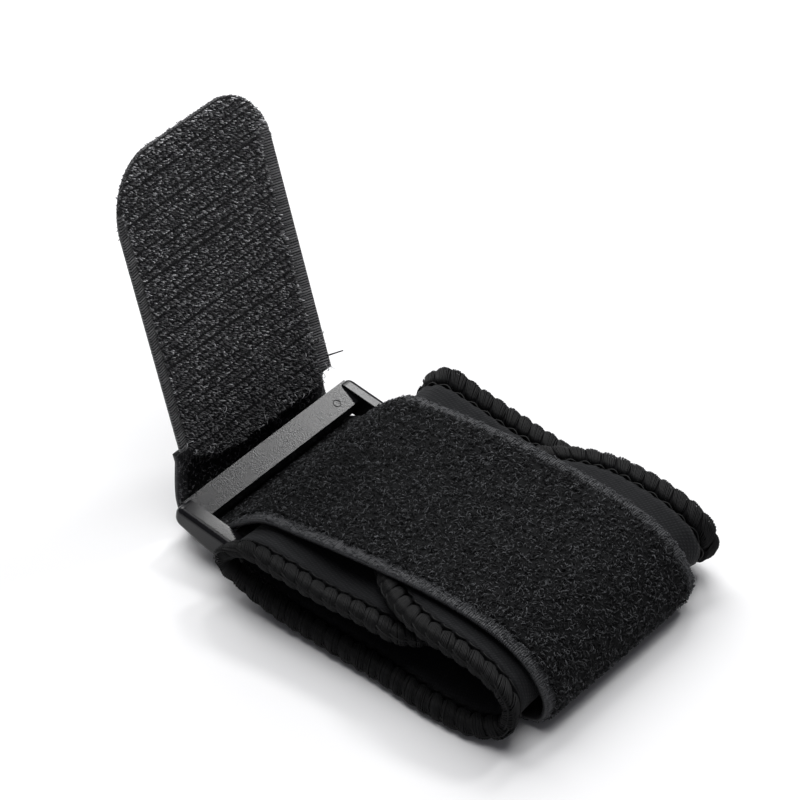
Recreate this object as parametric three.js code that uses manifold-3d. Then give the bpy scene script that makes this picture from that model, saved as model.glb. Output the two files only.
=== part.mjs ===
// Wrist strap, lying as it is laid down after use: a neoprene band folded into a flat loop, its edge
// overlocked all round, with a pile strap drawn over the fold and through a moulded ring, and a stiff
// hook tab standing up from the strap's end. Millimetres, +Z up. X runs from the ring to the fold, Y
// along the wrist. The origin is on the floor, under the middle of the whole.
import * as THREE from "three";
import { mergeVertices } from "three/addons/utils/BufferGeometryUtils.js";
import Module from "manifold-3d";

const wasm = await Module();
wasm.setup();

// Driving dimensions
const GAP = 0.35; // air between pieces that touch
const MIDDLE = { x: 0.65, y: 0.7 }; // middle of the whole, in the frame of the profiles below

const BAND_WALL = 2.4; // neoprene with its two knitted faces
const INNER_END_ROUND = 16; // how long the rounding of the inner tongue is
const OUTER_END_ROUND = 34; // and of the outer tongue, which is nearly a half circle
const BAND_SHIFT = 0.7; // the band lies a little toward the far side of the strap
const EDGE_WIDTH = 4.6; // overlocked edge, seen flat
const EDGE_THICK = 3.6;

const STRAP_THICK = 1.8; // backing and pile together
const SELVAGE_WIDTH = 2.2; // bare border along each side of the strap
const SELVAGE_THICK = 1.0;

const TAB_WIDTH = 47.2; // hook tape
const TAB_LENGTH = 69.8; // above the foot
const TAB_THICK = 1.5;
const TAB_CORNER_ACROSS = 13.5;
const TAB_CORNER_ALONG = 15.5;
// its raw lower end, cut out of square: across, and up from the foot
const TAB_RAW_END = [
  [-23.6, 3.2],
  [-19.4, -0.2],
  [-14.0, -2.5],
  [-8.0, -3.6],
  [18.0, -3.8],
  [19.9, -3.3],
  [20.6, -2.0],
  [23.6, -2.1],
];
const TAB_SHIFT = 1.2; // sewn on a little toward the far side
const TAB_LEAN = 16.3; // degrees back from upright
const TAB_FOOT = { x: -38.6, z: 17.2 }; // on the front face of the tape, near its raw end
const STRAP_END = 2.2; // how far above the foot the strap's end lies, behind the tape

const RING_LENGTH = 19; // along the strap
const RING_INSIDE = 50.1; // clear width for the strap
const RING_CHEEK = { near: 4.15, far: 3.1 }; // width of each end cheek
const RING_HEIGHT = 6.4;
const RING_THIN = { near: 4.7, far: 6.2 }; // height of each at the outer bar, toward which it tapers from below
const RING_ROUND = 1.9; // rounding of the cheeks' corners
const RING_TILT = 9.5; // degrees, the band's side lower
const RING_CENTRE = { x: -27.6, z: 6.8 };
const OUTER_BAR = { width: 5.7, top: 2.95, innerTop: 1.6, bottom: -1.2, edge: 0.7 };
const INNER_BAR = { width: 4.4, top: 1.2, innerTop: 1.2, bottom: -1.5, edge: 0.9 };

const KEEPER_THICK = 1.1;

// Side profiles, a row for each bend or run: x and z of the middle of the wall, half its width, roll in
// degrees (far side up), flare, by which the two long edges stand out past the middle of the width, and
// far, by which the far half is wider than the near one
const BAND_ROWS = [
  { place: "inner tongue, tip", x: 41.0, z: 11.8, half: 34.8, roll: 0.0, flare: 0.0 },
  { place: "inner tongue, under the outer one", x: 29.0, z: 13.0, half: 34.8, roll: 0.3, flare: 0.2 },
  { place: "inner tongue, middle", x: 17.0, z: 13.6, half: 35.0, roll: 1.0, flare: 0.8, far: 0.3 },
  { place: "inner tongue, pressed down", x: 7.0, z: 13.4, half: 35.2, roll: 1.8, flare: 1.4, far: 0.6 },
  { place: "inner tongue, crest", x: -5.0, z: 15.0, half: 35.5, roll: 2.7, flare: 1.2 },
  { place: "left fold, above", x: -12.8, z: 14.8, half: 35.7, roll: 3.2, flare: 2.6 },
  { place: "left fold", x: -17.8, z: 10.8, half: 35.7, roll: 2.2, flare: 2.0 },
  { place: "left fold, below", x: -14.0, z: 7.15, half: 35.7, roll: 0.0, flare: 1.0 },
  { place: "underside, left", x: -4.0, z: 4.8, half: 35.8, roll: 0.0, flare: 1.4 },
  { place: "underside, middle", x: 10.0, z: 3.9, half: 36.0, roll: 0.0, flare: 1.3 },
  { place: "underside, before the strap", x: 24.0, z: 3.8, half: 36.4, roll: 0.0, flare: 1.5 },
  { place: "underside, right", x: 38.0, z: 3.8, half: 37.8, roll: 0.2, flare: 1.5 },
  { place: "right fold, below", x: 48.6, z: 4.1, half: 37.4, roll: 0.6, flare: 1.3 },
  { place: "right fold, lower quarter", x: 54.9, z: 6.9, half: 35.6, roll: 1.0, flare: 1.8, far: 0.4 },
  { place: "right fold, upper quarter", x: 54.4, z: 11.6, half: 34.8, roll: 0.7, flare: 2.4, far: 1.0 },
  { place: "right fold, above", x: 48.4, z: 15.3, half: 34.4, roll: 0.4, flare: 1.4, far: 1.6 },
  { place: "outer tongue, root", x: 37.0, z: 17.7, half: 34.2, roll: 0.3, flare: 0.2, far: 1.8 },
  { place: "outer tongue, middle", x: 24.0, z: 18.1, half: 34.2, roll: 0.6, flare: 0.2, far: 1.4 },
  { place: "outer tongue, end", x: 12.0, z: 17.6, half: 34.2, roll: 1.2, flare: 0.0, far: 0.6 },
  { place: "outer tongue, tip", x: 4.0, z: 16.9, half: 34.2, roll: 1.8, flare: 0.0 },
];

const STRAP_ROWS = [
  { place: "sewn end, under the band", x: 27.0, z: 0.9, half: 25.0, roll: 0.0, flare: 0.0 },
  { place: "underside, middle", x: 36.0, z: 0.9, half: 25.0, roll: 0.0, flare: 0.0 },
  { place: "underside, right", x: 45.0, z: 0.9, half: 25.0, roll: 0.0, flare: 0.0 },
  { place: "right fold, start", x: 48.0, z: 0.9, half: 25.0, roll: 0.0, flare: 0.0 },
  { place: "right fold, rising", x: 52.5, z: 1.2, half: 25.0, roll: 0.0, flare: 0.0 },
  { place: "right fold, lower quarter", x: 58.5, z: 2.9, half: 25.0, roll: 0.0, flare: 0.0 },
  { place: "right fold", x: 60.0, z: 8.0, half: 25.0, roll: 0.0, flare: 0.0 },
  { place: "right fold, upper quarter", x: 56.2, z: 14.4, half: 25.0, roll: -0.3, flare: 0.0 },
  { place: "right fold, above", x: 49.4, z: 18.5, half: 25.0, roll: -0.5, flare: 0.0 },
  { place: "top, right", x: 38.0, z: 20.7, half: 25.0, roll: -0.4, flare: 0.0 },
  { place: "top, crest", x: 24.0, z: 21.2, half: 25.0, roll: 0.4, flare: 0.0 },
  { place: "top, over the tongue's tip", x: 8.0, z: 20.3, half: 25.0, roll: 1.5, flare: 0.0 },
  { place: "top, left", x: -7.0, z: 18.7, half: 25.0, roll: 2.2, flare: 0.0 },
  { place: "brow over the ring", x: -15.6, z: 17.2, half: 25.0, roll: 2.3, flare: 0.0 },
  { place: "down to the slot", x: -22.4, z: 12.2, half: 24.8, roll: 1.4, flare: 0.0 },
  { place: "in the slot", x: -27.9, z: 6.4, half: 24.6, roll: 0.6, flare: 0.0 },
  { place: "under the outer bar", x: -33.0, z: 2.8, half: 24.4, roll: 0.0, flare: 0.0, far: 0.4 },
  { place: "turning up", x: -37.4, z: 1.7, half: 24.0, roll: 0.0, flare: 0.0, far: 1.0 },
  { place: "behind the outer bar", x: -40.3, z: 7.6, half: 23.6, roll: 0.0, flare: 0.0, far: 1.1 },
];

const KEEPER_ROWS = [
  { place: "sewn end, upper layer", x: 0.0, z: 2.1, half: 24, roll: 0.0, flare: 0.0 },
  { place: "upper layer", x: -7.0, z: 2.75, half: 24, roll: 0.0, flare: 0.0 },
  { place: "under the left fold", x: -12.6, z: 3.9, half: 24, roll: 0.0, flare: 0.0 },
  { place: "up to the bar", x: -17.0, z: 6.2, half: 24, roll: 0.0, flare: 0.0 },
  { place: "over the bar", x: -20.2, z: 8.25, half: 24, roll: 0.0, flare: 0.0 },
  { place: "bar, upper left", x: -23.4, z: 7.7, half: 24, roll: 0.0, flare: 0.0 },
  { place: "bar, lower left", x: -24.3, z: 4.6, half: 24, roll: 0.0, flare: 0.0 },
  { place: "under the bar", x: -20.9, z: 2.7, half: 24, roll: 0.0, flare: 0.0 },
  { place: "back to the band", x: -15.0, z: 2.3, half: 24, roll: 0.0, flare: 0.0 },
  { place: "lower layer", x: -7.0, z: 1.4, half: 24, roll: 0.0, flare: 0.0 },
  { place: "sewn end, lower layer", x: 0.0, z: 0.8, half: 24, roll: 0.0, flare: 0.0 },
];

// A smooth side profile through the rows, read by length along it. Its normal is the outer face's.
function profile(rows) {
  const curve = new THREE.CatmullRomCurve3(
    rows.map((row) => new THREE.Vector3(row.x, 0, row.z)),
    false,
    "centripetal",
  );
  curve.arcLengthDivisions = 2000;
  const length = curve.getLength();
  const between = (column, place) => {
    const i = Math.min(Math.floor(place), rows.length - 2);
    return THREE.MathUtils.lerp(rows[i][column] ?? 0, rows[i + 1][column] ?? 0, place - i);
  };
  const at = (s) => {
    const t = curve.getUtoTmapping(THREE.MathUtils.clamp(s / length, 0, 1));
    const along = curve.getTangent(t);
    const row = t * (rows.length - 1);
    return {
      point: curve.getPoint(t),
      along,
      normal: new THREE.Vector3(along.z, 0, -along.x),
      half: between("half", row),
      roll: THREE.MathUtils.degToRad(between("roll", row)),
      flare: between("flare", row),
      far: between("far", row),
    };
  };
  return { length, at };
}

// The place of a point y across and h out of the middle of a wall, at s along its profile
function onWall(wall, s, y, h) {
  const here = wall.at(s);
  const edge = Math.min(Math.abs(y) / here.half, 1);
  const place = here.point.clone().addScaledVector(here.normal, h + here.flare * edge ** 7);
  place.y = y + (here.far * Math.max(y, 0)) / here.half;
  place.z += y * Math.tan(here.roll);
  return place;
}

// A closed skin over rows of equal rings of points, with both ends capped, or joined where it is a loop
function skin(rings, isLoop, capContour) {
  const around = rings[0].length;
  const positions = rings.flat().flatMap((p) => [p.x, p.y, p.z]);
  const triangles = [];
  const ringSteps = isLoop ? rings.length : rings.length - 1;
  for (let i = 0; i < ringSteps; i++) {
    for (let j = 0; j < around; j++) {
      const a = i * around + j;
      const b = i * around + ((j + 1) % around);
      const c = ((i + 1) % rings.length) * around + j;
      const d = ((i + 1) % rings.length) * around + ((j + 1) % around);
      triangles.push(a, d, b, a, c, d);
    }
  }
  if (!isLoop) {
    const last = (rings.length - 1) * around;
    for (const [a, b, c] of THREE.ShapeUtils.triangulateShape(capContour, [])) {
      triangles.push(a, b, c, last + a, last + c, last + b);
    }
  }
  const geometry = new THREE.BufferGeometry();
  geometry.setAttribute("position", new THREE.Float32BufferAttribute(positions, 3));
  geometry.setIndex(triangles);
  geometry.computeVertexNormals();
  return geometry;
}

// Lengths along a wall, close together in its folds and in its rounded ends
function stations(wall, startRound, endRound) {
  const places = [];
  const roundSteps = 9;
  const shortest = 0.08; // of a quarter turn, so that the tip keeps a short straight edge
  const quarter = (i) => Math.PI * 0.5 * (shortest + ((1 - shortest) * i) / roundSteps);
  for (let i = 0; startRound > 0 && i < roundSteps; i++) {
    places.push(startRound * (1 - Math.cos(quarter(i))));
  }
  const [longest, turn, look] = [4.5, 0.24, 0.25];
  let s = startRound;
  const stop = wall.length - endRound;
  while (s < stop - 0.6) {
    places.push(s);
    const ahead = s;
    const heading = wall.at(s).along;
    do {
      s += look;
    } while (s < ahead + longest && heading.angleTo(wall.at(s).along) < turn);
  }
  places.push(stop);
  for (let i = roundSteps - 1; endRound > 0 && i >= 0; i--) {
    places.push(wall.length - endRound * (1 - Math.cos(quarter(i))));
  }
  return places;
}

// Half the width of a wall with rounded ends, at s along it
function roundedHalf(wall, s, startRound, endRound) {
  const fromStart = THREE.MathUtils.clamp((startRound - s) / startRound, 0, 1);
  const fromEnd = THREE.MathUtils.clamp((s - wall.length + endRound) / endRound, 0, 1);
  return wall.at(s).half * Math.sqrt(1 - Math.max(fromStart, fromEnd) ** 2);
}

function standard(name, geometry, color, roughness) {
  const material = new THREE.MeshStandardMaterial({ color, roughness, metalness: 0 });
  const mesh = new THREE.Mesh(geometry, material);
  mesh.name = name;
  return mesh;
}

// Neoprene band: a strip with two rounded ends, folded over so that the ends overlap on top
const bandWall = profile(BAND_ROWS);

// Its flat outline, as points along the far side from the inner tip to the outer one
function bandOutline() {
  const side = stations(bandWall, INNER_END_ROUND, OUTER_END_ROUND).map((s) => ({
    s,
    y: roundedHalf(bandWall, s, INNER_END_ROUND, OUTER_END_ROUND),
  }));
  return side.map((here, i) => {
    const before = side[i - 1] ?? { s: here.s, y: -here.y };
    const after = side[i + 1] ?? { s: here.s, y: -here.y };
    const outward = new THREE.Vector2(before.y - after.y, after.s - before.s).normalize();
    const inward = (inset) => ({ s: here.s - outward.x * inset, y: here.y - outward.y * inset });
    return { inward };
  });
}

function wristBand() {
  const across = [-1, -0.84, -0.6, 0, 0.6, 0.84, 1];
  const ring = [
    ...across.map((y) => ({ y, h: -BAND_WALL / 2 })),
    ...across.toReversed().map((y) => ({ y, h: BAND_WALL / 2 })),
  ];
  const rings = bandOutline().map(({ inward }) => {
    const edge = inward(EDGE_WIDTH + GAP);
    return ring.map(({ y, h }) => onWall(bandWall, edge.s, y * edge.y, h));
  });
  const contour = ring.map(({ y, h }) => new THREE.Vector2(y, h));
  return standard("wrist_band", skin(rings, false, contour), 0x1a1b1d, 0.8);
}

// Overlocked edge: one soft bead that runs right round the band, along both sides and both tongues
function overlockedEdge() {
  const bead = [
    { out: 0, h: -0.34 * EDGE_THICK },
    { out: 0.3, h: -0.5 * EDGE_THICK },
    { out: 0.8, h: -0.46 * EDGE_THICK },
    { out: 1, h: -0.22 * EDGE_THICK },
    { out: 1, h: 0.22 * EDGE_THICK },
    { out: 0.8, h: 0.46 * EDGE_THICK },
    { out: 0.3, h: 0.5 * EDGE_THICK },
    { out: 0, h: 0.34 * EDGE_THICK },
  ];
  const beadAt = (inward, side) =>
    bead.map(({ out, h }) => {
      const place = inward(EDGE_WIDTH * (1 - out));
      return onWall(bandWall, place.s, side * place.y, h);
    });
  const outline = bandOutline();
  const farSide = outline.map(({ inward }) => beadAt(inward, 1));
  const nearSide = outline.toReversed().map(({ inward }) => beadAt(inward, -1));
  return standard("overlocked_edge", skin([...farSide, ...nearSide], true), 0x17181a, 0.9);
}

// Hook tab: a flat piece of hook tape, round-cornered at the top, raw and out of square below
const tabLean = THREE.MathUtils.degToRad(TAB_LEAN);
const tabUp = new THREE.Vector3(-Math.sin(tabLean), 0, Math.cos(tabLean));
const tabFront = new THREE.Vector3(Math.cos(tabLean), 0, Math.sin(tabLean));

function behindTab(up, back) {
  const foot = new THREE.Vector3(TAB_FOOT.x, TAB_SHIFT, TAB_FOOT.z);
  return foot.addScaledVector(tabUp, up).addScaledVector(tabFront, -back);
}

function hookTab() {
  const half = TAB_WIDTH / 2;
  const shoulder = TAB_LENGTH - TAB_CORNER_ALONG;
  const crown = half - TAB_CORNER_ACROSS;
  const outline = new THREE.Shape();
  outline.setFromPoints(TAB_RAW_END.map(([across, up]) => new THREE.Vector2(across, up)));
  outline.lineTo(half, shoulder);
  outline.absellipse(crown, shoulder, TAB_CORNER_ACROSS, TAB_CORNER_ALONG, 0, Math.PI / 2, false, 0);
  outline.absellipse(-crown, shoulder, TAB_CORNER_ACROSS, TAB_CORNER_ALONG, Math.PI / 2, Math.PI, false, 0);
  const geometry = new THREE.ExtrudeGeometry(outline, {
    depth: TAB_THICK,
    bevelEnabled: false,
    curveSegments: 8,
  });
  const mesh = standard("hook_tab", geometry, 0x1d1d1f, 0.7);
  mesh.setRotationFromMatrix(new THREE.Matrix4().makeBasis(new THREE.Vector3(0, 1, 0), tabUp, tabFront));
  mesh.position.copy(behindTab(0, TAB_THICK));
  return mesh;
}

// Pile strap: sewn under the band, drawn over the fold and down through the ring, up behind the tab
function loopStrap() {
  const back = TAB_THICK + GAP + STRAP_THICK / 2;
  const tail = [0, STRAP_END * 0.5, STRAP_END].map((up) => {
    const { x, z } = behindTab(up, back);
    return { place: "behind the tab", x, z, half: 22.4, roll: 0, flare: 0, far: 2.0 };
  });
  const wall = profile([...STRAP_ROWS, ...tail]);
  const [inner, pileTop] = [-STRAP_THICK / 2, STRAP_THICK / 2];
  const selvageTop = inner + SELVAGE_THICK;
  // section: in is measured from the strap's edge toward its middle
  const ring = [
    { side: -1, in: 0, h: inner },
    { side: 0, in: 0, h: inner },
    { side: 1, in: 0, h: inner },
    { side: 1, in: 0, h: selvageTop },
    { side: 1, in: SELVAGE_WIDTH, h: selvageTop },
    { side: 1, in: SELVAGE_WIDTH + 0.6, h: pileTop },
    { side: 0, in: 0, h: pileTop },
    { side: -1, in: SELVAGE_WIDTH + 0.6, h: pileTop },
    { side: -1, in: SELVAGE_WIDTH, h: selvageTop },
    { side: -1, in: 0, h: selvageTop },
  ];
  const across = (point, half) => point.side * (half - point.in);
  const rings = stations(wall, 0, 0).map((s) => {
    const { half } = wall.at(s);
    return ring.map((point) => onWall(wall, s, across(point, half), point.h));
  });
  const contour = ring.map((point) => new THREE.Vector2(across(point, STRAP_ROWS[0].half), point.h));
  return standard("loop_strap", skin(rings, false, contour), 0x151618, 1);
}

// Ring keeper: a short webbing strip looped round the ring's inner bar, both ends sewn under the band
function ringKeeper() {
  const wall = profile(KEEPER_ROWS);
  const half = KEEPER_ROWS[0].half;
  const ring = [
    { y: -half, h: -KEEPER_THICK / 2 },
    { y: half, h: -KEEPER_THICK / 2 },
    { y: half, h: KEEPER_THICK / 2 },
    { y: -half, h: KEEPER_THICK / 2 },
  ];
  const rings = stations(wall, 0, 0).map((s) => ring.map(({ y, h }) => onWall(wall, s, y, h)));
  const contour = ring.map(({ y, h }) => new THREE.Vector2(y, h));
  return standard("ring_keeper", skin(rings, false, contour), 0x161718, 0.9);
}

// Moulded ring: two round-cornered cheeks joined by an outer bar with a sloping top and an inner bar
function solidOf(geometry) {
  const bare = geometry.clone().deleteAttribute("normal").deleteAttribute("uv");
  const merged = mergeVertices(bare);
  return new wasm.Manifold(
    new wasm.Mesh({
      numProp: 3,
      vertProperties: merged.attributes.position.array,
      triVerts: new Uint32Array(merged.index.array),
    }),
  );
}

function geometryOf(solid) {
  const mesh = solid.getMesh();
  const geometry = new THREE.BufferGeometry();
  geometry.setAttribute("position", new THREE.BufferAttribute(mesh.vertProperties, 3));
  geometry.setIndex(new THREE.BufferAttribute(mesh.triVerts, 1));
  geometry.computeVertexNormals();
  return geometry;
}

// A side outline in x and z, drawn out along y from one width to another, with its edges eased
function alongWrist(outline, from, to, ease) {
  const geometry = new THREE.ExtrudeGeometry(outline, {
    depth: to - from - 2 * ease,
    curveSegments: 5,
    bevelEnabled: ease > 0,
    bevelThickness: ease,
    bevelSize: ease,
    bevelOffset: -ease,
    bevelSegments: 2,
  });
  return geometry.rotateX(Math.PI / 2).translate(0, to - ease, 0);
}

function cheekOutline(thin) {
  const [half, tall, r] = [RING_LENGTH / 2, RING_HEIGHT / 2, RING_ROUND];
  const outline = new THREE.Shape();
  outline.absarc(half - r, -tall + r, r, -Math.PI / 2, 0, false);
  outline.absellipse(half - 5, tall - 3.6, 5, 3.6, 0, Math.PI / 2, false, 0);
  outline.absarc(-half + r, tall - r, r, Math.PI / 2, Math.PI, false);
  outline.absarc(-half + r, tall - thin + r, r, Math.PI, Math.PI * 1.45, false);
  outline.lineTo(1.5, -tall);
  return outline;
}

// A bar's section, from its free edge toward the slot, which lies on the side of slotSign
function barOutline(bar, freeEdge, slotSign) {
  const slotEdge = freeEdge + slotSign * bar.width;
  const corners = [
    [freeEdge, bar.bottom + bar.edge],
    [freeEdge + slotSign * bar.edge, bar.bottom],
    [slotEdge - slotSign * bar.edge, bar.bottom],
    [slotEdge, bar.bottom + bar.edge],
    [slotEdge, bar.innerTop - bar.edge / 2],
    [slotEdge - (slotSign * bar.edge) / 2, bar.innerTop],
    [freeEdge + slotSign * bar.edge, bar.top],
    [freeEdge, bar.top - bar.edge],
  ];
  return new THREE.Shape(corners.map(([x, z]) => new THREE.Vector2(x, z)));
}

function buckleRing() {
  const inside = RING_INSIDE / 2;
  const biteIn = RING_CHEEK.far / 2; // the bars end inside the cheeks
  const freeEdge = RING_LENGTH / 2 - 0.3;
  const cheeks = [
    [-inside - RING_CHEEK.near, -inside, RING_THIN.near],
    [inside, inside + RING_CHEEK.far, RING_THIN.far],
  ].map(([from, to, thin]) => solidOf(alongWrist(cheekOutline(thin), from, to, 0.6)));
  const bars = [
    barOutline(OUTER_BAR, -freeEdge, 1),
    barOutline(INNER_BAR, freeEdge, -1),
  ].map((outline) => solidOf(alongWrist(outline, -inside - biteIn, inside + biteIn, 0)));
  const whole = [...cheeks, ...bars].reduce((joined, piece) => joined.add(piece));
  const mesh = standard("buckle_ring", geometryOf(whole), 0x3a3a3c, 0.5);
  mesh.rotation.y = THREE.MathUtils.degToRad(RING_TILT);
  mesh.position.set(RING_CENTRE.x, 0, RING_CENTRE.z);
  return mesh;
}

const band = new THREE.Group();
band.add(wristBand(), overlockedEdge());
band.position.y = BAND_SHIFT;

const laidDown = new THREE.Group();
laidDown.add(band, loopStrap(), hookTab(), ringKeeper(), buckleRing());
laidDown.position.set(-MIDDLE.x, -MIDDLE.y, 0);

const wristStrap = new THREE.Group();
wristStrap.add(laidDown);

export default wristStrap;
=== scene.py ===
import math

import bpy
import numpy as np
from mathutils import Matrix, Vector


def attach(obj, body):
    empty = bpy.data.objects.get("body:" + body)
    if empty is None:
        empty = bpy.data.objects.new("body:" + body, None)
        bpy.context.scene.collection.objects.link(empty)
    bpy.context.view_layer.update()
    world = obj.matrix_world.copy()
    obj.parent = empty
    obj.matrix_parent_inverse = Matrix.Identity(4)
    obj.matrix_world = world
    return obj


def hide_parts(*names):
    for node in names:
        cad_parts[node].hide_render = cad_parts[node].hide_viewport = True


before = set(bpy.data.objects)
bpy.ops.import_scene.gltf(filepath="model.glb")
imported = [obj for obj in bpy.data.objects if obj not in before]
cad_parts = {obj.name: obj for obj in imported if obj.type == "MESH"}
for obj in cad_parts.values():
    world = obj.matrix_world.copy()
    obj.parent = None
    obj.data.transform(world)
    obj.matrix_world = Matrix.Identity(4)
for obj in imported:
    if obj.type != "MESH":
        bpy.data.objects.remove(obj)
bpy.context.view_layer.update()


# Wrist band: a strip of foam rubber with black knit bonded to both faces, cut with two rounded ends
# and folded over so that the ends overlap on top. It is the loop that the wrist goes into.
MM = 0.001
MIDDLE = (0.65, 0.7, 0.0)  # middle of the whole in the frame of the side profiles, in mm
BAND_ACROSS = 0.7  # the band lies this far toward the far side
BAND_WALL = 2.4
INNER_END_ROUND = 16
OUTER_END_ROUND = 34
EDGE_WIDTH = 4.6  # of the overlocked edge that goes round it
EDGE_GAP = 0.35
STITCH_PITCH = 3.6  # of the overlocking
PUCKER = 0.22  # depth of the dents that its stitches pull in the knit
PUCKER_REACH = 1.6  # how far in from the edge they fade

# Each row is a bend or a run: x and z of the middle of the wall, half its width, roll in degrees
# (far side up), flare, by which the two long edges stand out past the middle of the width, and, where
# there is one more number, by how much the far half is wider than the near one
BAND_ROWS = [
    (41.0, 11.8, 34.8, 0.0, 0.0),  # inner tongue, tip
    (29.0, 13.0, 34.8, 0.3, 0.2),
    (17.0, 13.6, 35.0, 1.0, 0.8, 0.3),
    (7.0, 13.4, 35.2, 1.8, 1.4, 0.6),
    (-5.0, 15.0, 35.5, 2.7, 1.2),  # inner tongue, crest
    (-12.8, 14.8, 35.7, 3.2, 2.6),
    (-17.8, 10.8, 35.7, 2.2, 2.0),  # left fold
    (-14.0, 7.15, 35.7, 0.0, 1.0),
    (-4.0, 4.8, 35.8, 0.0, 1.4),
    (10.0, 3.9, 36.0, 0.0, 1.3),  # underside
    (24.0, 3.8, 36.4, 0.0, 1.5),
    (38.0, 3.8, 37.8, 0.2, 1.5),
    (48.6, 4.1, 37.4, 0.6, 1.3),
    (54.9, 6.9, 35.6, 1.0, 1.8, 0.4),  # right fold
    (54.4, 11.6, 34.8, 0.7, 2.4, 1.0),
    (48.4, 15.3, 34.4, 0.4, 1.4, 1.6),
    (37.0, 17.7, 34.2, 0.3, 0.2, 1.8),
    (24.0, 18.1, 34.2, 0.6, 0.2, 1.4),  # outer tongue
    (12.0, 17.6, 34.2, 1.2, 0.0, 0.6),
    (4.0, 16.9, 34.2, 1.8, 0.0),  # outer tongue, tip
]


class Fold:
    """The smooth side profile that a flat strip lies along, read by length along it in mm."""

    def __init__(self, rows, across=0.0):
        rows = np.array([(*row, 0.0)[:6] for row in rows])
        knots = rows[:, :2]
        padded = np.vstack([2 * knots[0] - knots[1], knots, 2 * knots[-1] - knots[-2]])
        place = np.linspace(0, len(rows) - 1, 80 * (len(rows) - 1) + 1)
        i = np.minimum(place.astype(int), len(rows) - 2)
        t = (place - i)[:, None]
        p0, p1, p2, p3 = (padded[i + k] for k in range(4))
        d0, d1, d2 = (
            np.linalg.norm(b - a, axis=1, keepdims=True) ** 0.5 for a, b in ((p0, p1), (p1, p2), (p2, p3))
        )
        leave = ((p1 - p0) / d0 - (p2 - p0) / (d0 + d1)) * d1 + p2 - p1
        arrive = ((p3 - p2) / d2 - (p3 - p1) / (d1 + d2)) * d1 + p2 - p1
        square = 3 * (p2 - p1) - 2 * leave - arrive
        cube = 2 * (p1 - p2) + leave + arrive
        line = p1 + leave * t + square * t**2 + cube * t**3
        self.s = np.concatenate([[0], np.cumsum(np.linalg.norm(np.diff(line, axis=0), axis=1))])
        self.length = self.s[-1]
        self.across = across
        heading = np.gradient(line, self.s, axis=0)
        heading /= np.linalg.norm(heading, axis=1, keepdims=True)
        half, roll, flare, far = (np.interp(place, range(len(rows)), rows[:, k]) for k in (2, 3, 4, 5))
        self.columns = [line[:, 0], line[:, 1], heading[:, 1], -heading[:, 0], half, roll, flare, far]

    def read(self, s):
        return [np.interp(s, self.s, column) for column in self.columns]

    def half(self, s):
        return self.read(s)[4]

    def place(self, s, y, h):
        """The point y across and h out of the middle of the wall, at s along, in metres."""
        x, z, out_x, out_z, half, roll, flare, far = self.read(s)
        h = h + flare * np.minimum(np.abs(y) / half, 1) ** 7
        lift = y * np.tan(np.radians(roll))
        across = y + self.across + far * np.maximum(y, 0) / half + 0 * h
        point = np.stack([x + out_x * h, across, z + out_z * h + lift], axis=-1)
        return MM * (point - MIDDLE)


band_fold = Fold(BAND_ROWS, BAND_ACROSS)


class Outline:
    """The band's flat outline, read by length round it from the tip of the inner tongue."""

    def __init__(self):
        turn = np.linspace(0, math.pi / 2, 120)
        straight = np.linspace(INNER_END_ROUND, band_fold.length - OUTER_END_ROUND, 400)[1:-1]
        start = INNER_END_ROUND * (1 - np.cos(turn))
        end = band_fold.length - OUTER_END_ROUND * (1 - np.cos(turn[::-1]))
        s = np.concatenate([start, straight, end])
        share = np.concatenate([np.sin(turn), np.ones(len(straight)), np.sin(turn[::-1])])
        y = band_fold.half(s) * share
        loop = np.concatenate([np.stack([s, y], 1), np.stack([s[-2::-1], -y[-2::-1]], 1)])
        walk = np.concatenate([[0], np.cumsum(np.linalg.norm(np.diff(loop, axis=0), axis=1))])
        self.round = walk[-1]
        self.p = np.linspace(0, self.round, 4001)[:-1]
        self.s, self.y = (np.interp(self.p, walk, loop[:, k]) for k in (0, 1))
        step_s, step_y = (np.roll(v, -3) - np.roll(v, 3) for v in (self.s, self.y))
        size = np.hypot(step_s, step_y)
        self.out_s, self.out_y = -step_y / size, step_s / size

    def inset(self, p, depth):
        """Flat place s, y that lies depth in from the outline."""
        s, y, out_s, out_y = (
            np.interp(p, self.p, v, period=self.round) for v in (self.s, self.y, self.out_s, self.out_y)
        )
        return s - out_s * depth, y - out_y * depth


outline = Outline()


def lay_grid(name, rows, columns, lay):
    """A flat grid that lay() moves to where the cloth lies. The UV map keeps the flat places, in mm."""
    bpy.ops.object.select_all(action="DESELECT")
    bpy.ops.mesh.primitive_grid_add(x_subdivisions=rows, y_subdivisions=columns, size=1, calc_uvs=True)
    piece = bpy.context.object
    piece.name = name
    mesh = piece.data
    flat = np.empty(len(mesh.vertices) * 3)
    mesh.vertices.foreach_get("co", flat)
    u, v = flat.reshape(-1, 3)[:, :2].T + 0.5
    points, cloth = lay(u, v)
    mesh.vertices.foreach_set("co", points.ravel())
    corner = np.empty(len(mesh.loops), int)
    mesh.loops.foreach_get("vertex_index", corner)
    mesh.uv_layers.active.data.foreach_set("uv", cloth[corner].ravel())
    bpy.ops.object.shade_smooth()
    return piece


def thicken(piece, wall, offset=0.0):
    """Gives a laid sheet its thickness, in mm."""
    solidify = piece.modifiers.new("wall", "SOLIDIFY")
    solidify.thickness = wall * MM
    solidify.offset = offset
    bpy.context.view_layer.objects.active = piece
    bpy.ops.object.modifier_apply(modifier="wall")


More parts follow.
